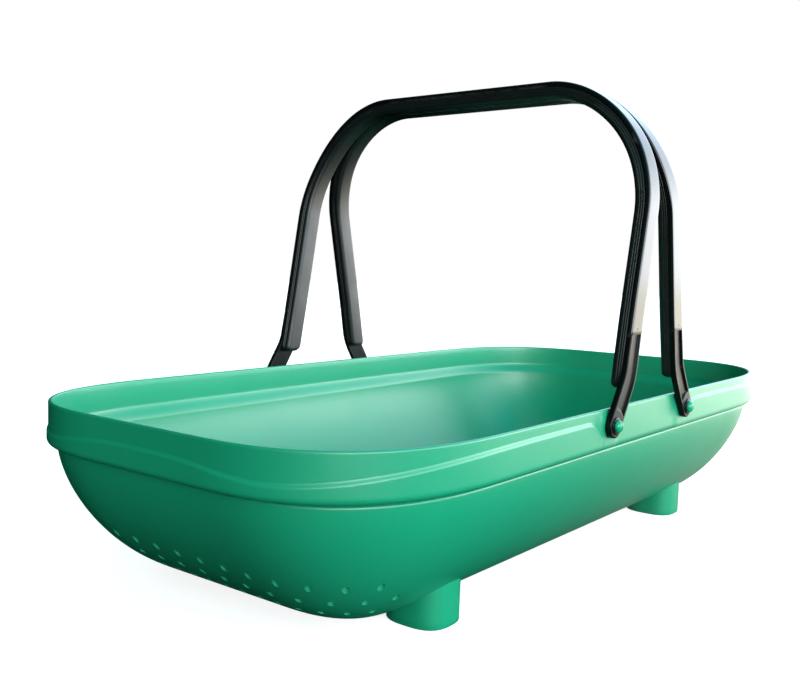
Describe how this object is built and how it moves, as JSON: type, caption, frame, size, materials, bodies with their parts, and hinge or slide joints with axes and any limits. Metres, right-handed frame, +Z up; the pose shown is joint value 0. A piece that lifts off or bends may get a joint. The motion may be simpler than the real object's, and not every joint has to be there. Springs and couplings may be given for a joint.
{
  "type": "carrying trug",
  "caption": "Oblong moulded carrying tub on short feet, with two leaning swing handles that meet over the middle and fold down to each end.",
  "frame": {"origin": "on the floor plane the feet stand on, under the middle of the tub", "axes": "+X along the tub's length, +Y across it, +Z up; the left handle folds down to -X and the right handle to +X"},
  "size_m": [0.6016, 0.3152, 0.3327],
  "materials": {
    "tub_green": "soft sheen moulded polypropylene, fine eggshell texture",
    "pin_green": "smooth moulded plastic, same green as the tub",
    "handle_black": "semi-gloss moulded plastic",
    "cover_black": "polished moulded plastic",
    "grip_black": "satin moulded plastic"
  },
  "bodies": {
    "tub": {"tub": "tub_green", "pin_left_front": "pin_green", "pin_left_rear": "pin_green", "pin_right_front": "pin_green", "pin_right_rear": "pin_green"},
    "left_handle": {"left_bail_frame": "handle_black", "left_bail_cover": "cover_black", "left_bail_grip": "grip_black"},
    "right_handle": {"right_bail_frame": "handle_black", "right_bail_cover": "cover_black", "right_bail_grip": "grip_black"}
  },
  "joints": [
    {"name": "left_handle_swing", "type": "hinge", "parent": "tub", "child": "left_handle", "pos_m": [-0.0588, 0, 0.1083], "axis": [0, -1, 0], "range_deg": [0, 88]},
    {"name": "right_handle_swing", "type": "hinge", "parent": "tub", "child": "right_handle", "pos_m": [0.0588, 0, 0.1083], "axis": [0, 1, 0], "range_deg": [0, 88]}
  ]
}
